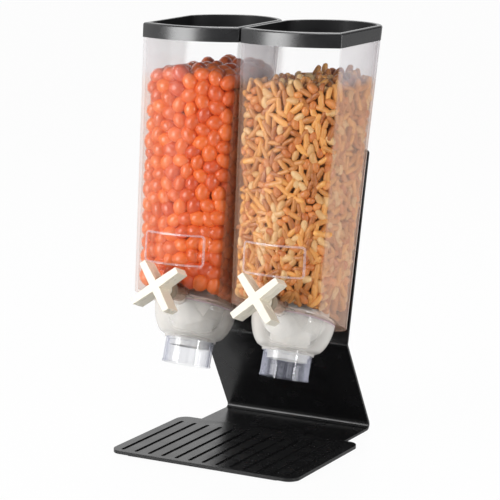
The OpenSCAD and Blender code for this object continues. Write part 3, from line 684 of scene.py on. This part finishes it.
def on_lid_shoulder(edge):
    """Whether an edge runs round the top of the lid's band."""
    return all(v.co.z / MM > LID_TOP - NEAR and lid_inset(v.co / MM) < BAND_SHARE
               for v in edge.verts)


def on_lid_outside(edge):
    """Whether an edge is round the lid's rim, dish or front corners, and not in its groove."""
    heights = [v.co.z / MM for v in edge.verts]
    if any(abs(z - GROOVE_TOP_Z) < NEAR for z in heights):
        return False
    seen = max(heights) > LID_TOP - RIM_HEIGHT or min(heights) > DISH_FLOOR_Z - NEAR
    return seen and sharp(edge)


def in_lid_dish(face):
    """Whether a face is on the dish's floor or its wall."""
    middle = face.calc_center_median() / MM
    return (DISH_FLOOR_Z < middle.z < LID_TOP - LEDGE_DEPTH
            and lid_inset(middle) > DISH_SHARE and face.normal.z > -0.2)


# ---- Food ----


def hopper_inset(p, gap):
    """Pushes points, in millimetres about the hopper's middle, inside its walls."""
    x, y, z = p.T
    half = half_width(z) - WALL - gap
    x = np.clip(x, -half, half)
    bow = FRONT_BULGE * (1 - (x / (half_width(z) - WALL)) ** 2)
    y = np.maximum(y, front_corner_y(z) - bow + WALL + gap * FRONT_ROOM)
    side_y = side_end_y(z)
    depth = back_depth(z) - WALL - gap
    reach = (np.abs(x) / half) ** BACK_POWER + (np.maximum(y - side_y, 0) / depth) ** BACK_POWER
    shrink = np.where((y > side_y) & (reach > 1), reach ** (-1 / BACK_POWER), 1)
    x = x * shrink
    y = np.where(y > side_y, side_y + (y - side_y) * shrink, y)
    return np.stack([x, y, z], 1)


def clear_valve(p, gap):
    """Pushes points out of the sloping floor, the wheel's trough and the front bearing."""
    floor_z = FLOOR_TOP_Z - (p[:, 1] - AXLE_AT[1]) * math.tan(FLOOR_SLOPE)
    p[:, 2] = np.maximum(p[:, 2], floor_z + (FLANGE_TOP + gap) / math.cos(FLOOR_SLOPE))
    along = (p - AXLE_AT) @ AXLE_ALONG
    off = p - AXLE_AT - along[:, None] * AXLE_ALONG
    distance = np.linalg.norm(off, axis=1) + 1e-9
    keep = np.where((along > TROUGH_FROM - gap) & (along < TROUGH_TO + gap), TROUGH_R,
                    np.where(along > 0, BEARING_R, 0.0)) + gap
    inside = (distance < keep) & (keep > gap)
    lift = keep / distance
    moved = AXLE_AT + along[:, None] * AXLE_ALONG + off * lift[:, None]
    p[inside] = moved[inside]
    return p


def packed_points(count, spacing, gap, level, seed, rounds=90):
    """Settles points a given distance apart inside a hopper, up to the fill level."""
    rng = np.random.default_rng(seed)
    ranges = (START_X, START_Y, (LOWEST_FOOD, level))
    p = np.stack([rng.uniform(low, high, count) for low, high in ranges], 1)
    p[:, 1] += (p[:, 2] - START_LEVEL) * START_LEAN
    for _ in range(rounds):
        p = clear_valve(hopper_inset(p, gap), gap)
        top = level + CROWN_HEIGHT * np.cos(p[:, 0] / CROWN_WIDTH)
        p[:, 2] = np.minimum(p[:, 2], top - gap)
        cells = {}
        keys = np.floor(p / spacing).astype(int)
        for i, key in enumerate(map(tuple, keys)):
            cells.setdefault(key, []).append(i)
        shift = np.zeros_like(p)
        for key, members in cells.items():
            near = [j for dx in (-1, 0, 1) for dy in (-1, 0, 1) for dz in (-1, 0, 1)
                    for j in cells.get((key[0] + dx, key[1] + dy, key[2] + dz), ())]
            gaps = p[members][:, None, :] - p[near][None, :, :]
            apart = np.linalg.norm(gaps, axis=2)
            push = np.where((apart < spacing) & (apart > 1e-6),
                            (spacing - apart) / (apart + 1e-9), 0)
            shift[members] = (gaps * push[:, :, None]).sum(1) * PUSH_SHARE
        step = np.linalg.norm(shift, axis=1, keepdims=True) + 1e-9
        p = p + shift * np.minimum(1, LONGEST_STEP * spacing / step)
    return clear_valve(hopper_inset(p, gap), gap)


def lying_axes(p, gap, rng, upright=0.0):
    """A random direction for each point, laid along a wall or the trough where one is near."""
    axis = rng.normal(size=p.shape)
    axis[:, 2] *= 1 + upright
    axis /= np.linalg.norm(axis, axis=1, keepdims=True)
    reach = gap + LYING_DEPTH
    pushed = clear_valve(hopper_inset(p, reach), reach) - p
    depth = np.linalg.norm(pushed, axis=1)
    normal = pushed / (depth[:, None] + 1e-9)
    lay = np.clip(depth / LYING_DEPTH * LYING_SHARE, 0, 1)[:, None]
    axis = axis - lay * normal * np.sum(axis * normal, axis=1, keepdims=True)
    return axis / (np.linalg.norm(axis, axis=1, keepdims=True) + 1e-9)


def food_tree(name):
    """Instances one kind of food on points, turned along each point's own direction."""
    group = bpy.data.node_groups.new(name, "GeometryNodeTree")
    for label, kind, value in (
            ("Geometry", "Geometry", None), ("Length", "Float", 0.02), ("Width", "Float", 0.014),
            ("Squareness", "Float", 0.0), ("Size variation", "Float", 0.15),
            ("Bend", "Float", 0.0), ("Sides", "Int", 8), ("Rings", "Int", 7), ("Seed", "Int", 1),
            ("Finish", "Material", None)):
        socket = group.interface.new_socket(
            label, in_out="INPUT", socket_type="NodeSocket" + kind)
        if value is not None:
            socket.default_value = value
    group.interface.new_socket("Geometry", in_out="OUTPUT", socket_type="NodeSocketGeometry")

    tree = Tree(group)
    given = tree.node("NodeGroupInput").outputs
    result = tree.node("NodeGroupOutput")

    def calculated(operation, a, b=0):
        """What a math node makes of two numbers or sockets."""
        made = tree.node("ShaderNodeMath", operation=operation)
        for socket, value in zip(made.inputs, (a, b)):
            if isinstance(value, (int, float)):
                socket.default_value = value
            else:
                tree.link(value, socket)
        return made.outputs[0]

    # One piece of food: a sphere that is bent, and swollen towards a rod by its squareness, at
    # most fourfold
    ball = tree.node("GeometryNodeMeshUVSphere")
    tree.link(given["Sides"], ball.inputs["Segments"])
    tree.link(given["Rings"], ball.inputs["Rings"])
    ball.inputs["Radius"].default_value = 1.0
    place = tree.node("GeometryNodeInputPosition")
    apart = tree.node("ShaderNodeSeparateXYZ")
    tree.link(place.outputs["Position"], apart.inputs[0])
    squared = calculated("POWER", calculated("ABSOLUTE", apart.outputs["Z"]), 2)
    wide = calculated("SQRT", calculated("MAXIMUM", calculated("SUBTRACT", 1.0, squared), 1e-4))
    fuller = calculated("POWER", wide, calculated("MULTIPLY", given["Squareness"], -1))
    swell = calculated("MINIMUM", fuller, 4.0)
    half_wide = calculated("MULTIPLY", given["Width"], 0.5)
    across = calculated("MULTIPLY", swell, half_wide)
    arch = calculated("MULTIPLY", calculated("POWER", apart.outputs["Z"], 2), given["Bend"])
    moved = tree.node("ShaderNodeCombineXYZ")
    straight = calculated("MULTIPLY", apart.outputs["X"], across)
    tree.link(calculated("ADD", straight, arch), moved.inputs["X"])
    tree.link(calculated("MULTIPLY", apart.outputs["Y"], across), moved.inputs["Y"])
    half_long = calculated("MULTIPLY", given["Length"], 0.5)
    tree.link(calculated("MULTIPLY", apart.outputs["Z"], half_long), moved.inputs["Z"])
    shape = tree.node("GeometryNodeSetPosition")
    tree.link(ball.outputs["Mesh"], shape.inputs["Geometry"])
    tree.link(moved.outputs[0], shape.inputs["Position"])

    # Its turn, size and tint at each point, each drawn with a seed of its own
    axis = tree.node("GeometryNodeInputNamedAttribute", data_type="FLOAT_VECTOR")
    axis.inputs["Name"].default_value = "axis"
    along = tree.node("FunctionNodeAlignRotationToVector", axis="Z")
    tree.link(axis.outputs["Attribute"], along.inputs["Vector"])
    roll = tree.node("FunctionNodeRandomValue", data_type="FLOAT")
    roll.inputs[3].default_value = math.tau
    tree.link(given["Seed"], roll.inputs["Seed"])
    turn = tree.node("FunctionNodeAxisAngleToRotation")
    turn.inputs["Axis"].default_value = (0, 0, 1)
    tree.link(roll.outputs[1], turn.inputs["Angle"])
    rotate = tree.node("FunctionNodeRotateRotation", rotation_space="LOCAL")
    tree.link(along.outputs["Rotation"], rotate.inputs["Rotation"])
    tree.link(turn.outputs["Rotation"], rotate.inputs["Rotate By"])
    size = tree.node("FunctionNodeRandomValue", data_type="FLOAT")
    tree.link(calculated("SUBTRACT", 1.0, given["Size variation"]), size.inputs[2])
    tree.link(calculated("ADD", 1.0, given["Size variation"]), size.inputs[3])
    tree.link(calculated("ADD", given["Seed"], 11), size.inputs["Seed"])

    place_all = tree.node("GeometryNodeInstanceOnPoints")
    tree.link(given["Geometry"], place_all.inputs["Points"])
    tree.link(shape.outputs["Geometry"], place_all.inputs["Instance"])
    tree.link(rotate.outputs["Rotation"], place_all.inputs["Rotation"])
    tree.link(size.outputs[1], place_all.inputs["Scale"])
    tint = tree.node("FunctionNodeRandomValue", data_type="FLOAT")
    tree.link(calculated("ADD", given["Seed"], 23), tint.inputs["Seed"])
    keep = tree.node("GeometryNodeStoreNamedAttribute", data_type="FLOAT", domain="INSTANCE")
    keep.inputs["Name"].default_value = "tint"
    tree.link(place_all.outputs["Instances"], keep.inputs["Geometry"])
    tree.link(tint.outputs[1], keep.inputs["Value"])
    real = tree.node("GeometryNodeRealizeInstances")
    smooth = tree.node("GeometryNodeSetShadeSmooth")
    finish = tree.node("GeometryNodeSetMaterial")
    tree.link(keep.outputs["Geometry"], real.inputs["Geometry"])
    tree.link(real.outputs["Geometry"], smooth.inputs["Geometry"])
    tree.link(smooth.outputs["Geometry"], finish.inputs["Geometry"])
    tree.link(given["Finish"], finish.inputs["Material"])
    tree.link(finish.outputs["Geometry"], result.inputs["Geometry"])
    return group


def point_mesh(name, points, axes, side):
    """Points of one hopper as a mesh that keeps each one's direction."""
    mesh = bpy.data.meshes.new(name)
    placed = (points + np.array([side * HOPPER_X, 0, 0])) * MM
    mesh.from_pydata([tuple(p) for p in placed], [], [])
    attribute = mesh.attributes.new("axis", "FLOAT_VECTOR", "POINT")
    attribute.data.foreach_set("vector", axes.astype(np.float32).ravel())
    return mesh


# ---- Operators ----


class DISPENSER_OT_stand(bpy.types.Operator):
    """Finish the bent stand, its feet, the rails, their screws and the bumpers"""

    bl_idname = "dispenser.stand"
    bl_label = "Stand"

    def execute(self, context):
        materials, edge = shared_finishes(), sizes().edge
        finished("stand_plate", materials, 0.75 * edge, segments=3)
        for node in ("left_hanger", "right_hanger"):
            finished(node, materials, 0.4 * MM)
        group = copies_tree()
        for node, radius in (("rubber_feet", 0.5 * MM), ("bumpers", 0.3 * MM),
                             ("hanger_screws", 0.25 * MM), ("hanger_nuts", 0.25 * MM)):
            repeated(node, materials, group, radius)
        return {"FINISHED"}


class DISPENSER_OT_tray(bpy.types.Operator):
    """Finish the grooved catch tray"""

    bl_idname = "dispenser.tray"
    bl_label = "Catch tray"

    def execute(self, context):
        finished("catch_tray", shared_finishes(), 0.7 * MM, segments=3)
        return {"FINISHED"}


class DISPENSER_OT_hoppers(bpy.types.Operator):
    """Finish the clear hoppers with their label frames and hooks"""

    bl_idname = "dispenser.hoppers"
    bl_label = "Hoppers"

    def execute(self, context):
        materials = shared_finishes()
        for side in SIDES:
            finished(f"{side}_hopper", materials, 1.6 * MM, segments=3, chosen=on_hopper_corner)
            finished(f"{side}_label_frame", materials)
            finished(f"{side}_hook", materials, 0.5 * MM)
        return {"FINISHED"}


class DISPENSER_OT_lids(bpy.types.Operator):
    """Finish the dished lids and their gaskets"""

    bl_idname = "dispenser.lids"
    bl_label = "Lids"

    def execute(self, context):
        materials = shared_finishes()
        for side in SIDES:
            finished(f"{side}_lid", materials, 0.9 * sizes().edge, segments=3,
                     chosen=on_lid_outside,
                     wider=((3.2 * sizes().edge, on_lid_shoulder),),
                     inlay=(in_lid_dish, materials["textured_dish"]))
            finished(f"{side}_lid_gasket", materials)
        return {"FINISHED"}


class DISPENSER_OT_outlets(bpy.types.Operator):
    """Finish the bowls, seams, chutes, spouts and nuts under the hoppers"""

    bl_idname = "dispenser.outlets"
    bl_label = "Outlets"

    def execute(self, context):
        materials = shared_finishes()
        for side in SIDES:
            for name in ("bowl", "bowl_gasket", "chute", "spout_nut", "rear_bush"):
                finished(f"{side}_{name}", materials)
            finished(f"{side}_spout", materials, 0.5 * MM)
            finished(f"{side}_front_bush", materials, 0.35 * MM)
        return {"FINISHED"}


class DISPENSER_OT_rotors(bpy.types.Operator):
    """Finish the knobs, axles, clips and paddle wheels"""

    bl_idname = "dispenser.rotors"
    bl_label = "Knobs and wheels"

    def execute(self, context):
        materials, group = shared_finishes(), copies_tree()
        for side in SIDES:
            finished(f"{side}_knob", materials, 1.2 * sizes().edge, segments=3)
            for name in ("axle", "axle_clip", "wheel_hub"):
                finished(f"{side}_{name}", materials)
            hub = Vector(AXLE_AT * MM) + Vector((SIDES[side] * HOPPER_X * MM, 0, 0))
            repeated(f"{side}_wheel_vanes", materials, group, 0.3 * MM, hub)
        return {"FINISHED"}


class DISPENSER_OT_food(bpy.types.Operator):
    """Fill the hoppers with coated nuts on the left and baked snack sticks on the right"""

    bl_idname = "dispenser.food"
    bl_label = "Food"

    def execute(self, context):
        size, colours = sizes(), finishes()
        group = food_tree("Food on points")
        orange = food_finish(
            "Orange coated nut", colours.nut, (0.62, 0.055, 0.006), (0.97, 0.22, 0.028),
            roughness=0.4, speckle_scale=160, speckle=0.9, coat=0.6)
        radius = 0.5 * (size.nut_length * size.nut_width ** 2) ** (1 / 3) / MM
        gap = 0.5 * size.nut_width / MM + NUT_CLEARANCE
        rng = np.random.default_rng(seed=5)
        points = packed_points(NUT_COUNT, NUT_SPACING * radius, gap, size.nut_fill / MM, seed=7)
        axes = lying_axes(points, gap, rng)
        nuts = grow("left_coated_nuts", point_mesh("nuts", points, axes, -1), group,
                    {"Length": size.nut_length, "Width": size.nut_width, "Squareness": 0.0,
                     "Size variation": 0.08, "Sides": 10, "Rings": 7, "Seed": 3,
                     "Finish": orange})
        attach(nuts, "left_hopper_unit")

        baked = food_finish(
            "Baked snack stick", colours.stick, (0.34, 0.08, 0.012), (0.97, 0.50, 0.13),
            roughness=0.42, speckle_scale=240, speckle=0.95, coat=0.2)
        cream = food_finish(
            "Cream nut half", (0.80, 0.48, 0.19), (0.66, 0.33, 0.10), (0.90, 0.64, 0.32),
            roughness=0.4, speckle_scale=260, speckle=0.9, coat=0.2)
        amber = food_finish(
            "Amber nugget", (0.72, 0.26, 0.06), (0.52, 0.14, 0.03), (0.86, 0.36, 0.10),
            roughness=0.36, speckle_scale=200, speckle=0.9, coat=0.25)
        gap = 0.5 * size.stick_width / MM + MIX_CLEARANCE
        points = packed_points(MIX_COUNT, MIX_SPACING, gap, size.stick_fill / MM, seed=21,
                               rounds=60)
        axes = lying_axes(points, gap, rng, upright=0.4)
        kind = rng.uniform(size=len(points))
        for name, chosen, length, width, square, bend, sides, finish in (
                ("right_snack_sticks", kind < STICKS_TO, size.stick_length, size.stick_width,
                 0.55, 1.4 * MM, 7, baked),
                ("right_nut_halves", (kind >= STICKS_TO) & (kind < HALVES_TO), 16 * MM,
                 9.5 * MM, 0.25, 1.8 * MM, 8, cream),
                ("right_nuggets", kind >= HALVES_TO, 13.5 * MM, 10 * MM, 0.1, 0.6 * MM, 8,
                 amber)):
            bits = grow(name, point_mesh(name, points[chosen], axes[chosen], 1), group,
                        {"Length": length, "Width": width, "Squareness": square, "Bend": bend,
                         "Size variation": 0.16, "Sides": sides, "Rings": 7, "Seed": 31,
                         "Finish": finish})
            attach(bits, "right_hopper_unit")
        return {"FINISHED"}


class DISPENSER_OT_stage(bpy.types.Operator):
    """Set the floor, the lamps, the white surroundings and the camera"""

    bl_idname = "dispenser.stage"
    bl_label = "Stage"

    def execute(self, context):
        scene = context.scene
        scene.view_settings.view_transform = "Standard"
        make_floor()
        make_world(scene)
        make_lamps()
        make_camera(scene)
        return {"FINISHED"}


# ---- Stage ----


def larger(tree, first, second):
    """The larger of two shares, or 1 for either of two kinds of ray."""
    most = tree.node("ShaderNodeMath", operation="MAXIMUM")
    tree.link(first, most.inputs[0])
    tree.link(second, most.inputs[1])
    return most.outputs[0]


def blend_shaders(tree, share, under, over):
    """One shader over another by a share."""
    mix = tree.node("ShaderNodeMixShader")
    tree.link(share, mix.inputs["Fac"])
    tree.link(under, mix.inputs[1])
    tree.link(over, mix.inputs[2])
    return mix.outputs["Shader"]


def make_floor():
    """A grey worktop that looks white to the camera, and paler than it is in mirrors."""
    far = FLOOR_REACH
    mesh = bpy.data.meshes.new("floor")
    mesh.from_pydata([(-far, -far, 0), (far, -far, 0), (far, far, 0), (-far, far, 0)], [],
                     [(0, 1, 2, 3)])
    floor = link_mesh("floor", mesh)
    material, tree = new_material("White worktop")
    shader = tree.node("ShaderNodeBsdfPrincipled")
    shader.inputs["Base Color"].default_value = FLOOR_GREY
    shader.inputs["Roughness"].default_value = FLOOR_ROUGHNESS
    white = tree.node("ShaderNodeEmission")
    output = tree.node("ShaderNodeOutputMaterial")
    path = tree.node("ShaderNodeLightPath").outputs
    seen = larger(tree, path["Is Camera Ray"], path["Is Transmission Ray"])
    shares = []
    for rays, part in ((seen, FLOOR_WHITE), (path["Is Glossy Ray"], MIRRORED_FLOOR)):
        share = tree.node("ShaderNodeMath", operation="MULTIPLY")
        share.inputs[1].default_value = part
        tree.link(rays, share.inputs[0])
        shares.append(share.outputs[0])
    tree.link(blend_shaders(tree, larger(tree, *shares), shader.outputs["BSDF"],
                            white.outputs["Emission"]), output.inputs["Surface"])
    mesh.materials.append(material)


def make_world(scene):
    """White behind the object, soft light round it, and a white wall in mirrors only."""
    world = bpy.data.worlds.new("White surroundings")
    world.use_nodes = True
    world.node_tree.nodes.clear()
    tree = Tree(world.node_tree)
    soft = tree.node("ShaderNodeBackground")
    soft.inputs["Color"].default_value = (0.96, 0.97, 1.0, 1)
    soft.inputs["Strength"].default_value = SOFT_LIGHT
    wall = tree.node("ShaderNodeBackground")
    white = tree.node("ShaderNodeBackground")
    for plain in (wall, white):
        plain.inputs["Color"].default_value = (1, 1, 1, 1)
    output = tree.node("ShaderNodeOutputWorld")
    direction = tree.node("ShaderNodeTexCoord")
    towards = tree.node("ShaderNodeVectorMath", operation="DOT_PRODUCT")
    towards.inputs[1].default_value = MIRRORED_WALL
    tree.link(direction.outputs["Generated"], towards.inputs[0])
    ramp = tree.node("ShaderNodeMapRange", interpolation_type="SMOOTHSTEP")
    ramp.inputs["From Min"].default_value, ramp.inputs["From Max"].default_value = WALL_FADE
    ramp.inputs["To Min"].default_value = WALL_LEAST
    tree.link(towards.outputs["Value"], ramp.inputs["Value"])
    tree.link(ramp.outputs["Result"], wall.inputs["Strength"])
    path = tree.node("ShaderNodeLightPath").outputs
    mirrored = blend_shaders(tree, path["Is Glossy Ray"], soft.outputs["Background"],
                             wall.outputs["Background"])
    seen = larger(tree, path["Is Camera Ray"], path["Is Transmission Ray"])
    tree.link(blend_shaders(tree, seen, mirrored, white.outputs["Background"]),
              output.inputs["Surface"])
    scene.world = world


def make_lamps():
    """Soft boxes and a strip round the object, each turned towards its middle."""
    for name, (azimuth, height, distance, width, tall, power) in LAMPS.items():
        data = bpy.data.lights.new(name, "AREA")
        data.shape = "RECTANGLE"
        data.size, data.size_y = width, tall
        data.energy = power
        lamp = bpy.data.objects.new(name, data)
        bpy.context.scene.collection.objects.link(lamp)
        turn = math.radians(azimuth)
        spot = Vector((distance * math.sin(turn), -distance * math.cos(turn), height))
        lamp.location = spot
        lamp.rotation_mode = "QUATERNION"
        lamp.rotation_quaternion = (LAMPS_AIM - spot).to_track_quat("-Z", "Y")


def make_camera(scene):
    """A long lens at the front right that looks slightly down."""
    level = math.cos(CAMERA_ELEVATION)
    back = Vector((math.sin(CAMERA_AZIMUTH) * level, -math.cos(CAMERA_AZIMUTH) * level,
                   math.sin(CAMERA_ELEVATION)))
    data = bpy.data.cameras.new("Photo camera")
    data.lens = CAMERA_LENS
    data.sensor_width = CAMERA_SENSOR
    data.clip_start, data.clip_end = 0.1, 50
    camera = bpy.data.objects.new("Photo camera", data)
    scene.collection.objects.link(camera)
    camera.location = CAMERA_TARGET + back * CAMERA_DISTANCE
    camera.rotation_mode = "QUATERNION"
    camera.rotation_quaternion = (-back).to_track_quat("-Z", "Y")
    scene.camera = camera


# ---- Panel and registration ----


STEPS = (
    DISPENSER_OT_stand,
    DISPENSER_OT_tray,
    DISPENSER_OT_hoppers,
    DISPENSER_OT_lids,
    DISPENSER_OT_outlets,
    DISPENSER_OT_rotors,
    DISPENSER_OT_food,
    DISPENSER_OT_stage,
)


class DISPENSER_PT_panel(bpy.types.Panel):
    """Sizes, colours and building steps of the dispenser"""

    bl_idname = "DISPENSER_PT_panel"
    bl_label = "Gravity food dispenser"
    bl_space_type = "VIEW_3D"
    bl_region_type = "UI"
    bl_category = "Dispenser"

    def draw(self, context):
        for group in (sizes(), finishes()):
            box = self.layout.box()
            for name in group.__annotations__:
                box.prop(group, name)
        for step in STEPS:
            self.layout.operator(step.bl_idname)


CLASSES = (DispenserFinishes, DispenserSizes, *STEPS, DISPENSER_PT_panel)


def register():
    for cls in CLASSES:
        bpy.utils.register_class(cls)
    bpy.types.Scene.dispenser_finishes = bpy.props.PointerProperty(type=DispenserFinishes)
    bpy.types.Scene.dispenser_sizes = bpy.props.PointerProperty(type=DispenserSizes)


def unregister():
    del bpy.types.Scene.dispenser_sizes
    del bpy.types.Scene.dispenser_finishes
    for cls in reversed(CLASSES):
        bpy.utils.unregister_class(cls)


def main():
    """Builds every step."""
    register()
    for step in STEPS:
        family, name = step.bl_idname.split(".")
        getattr(getattr(bpy.ops, family), name)()


if __name__ == "__main__":
    main()
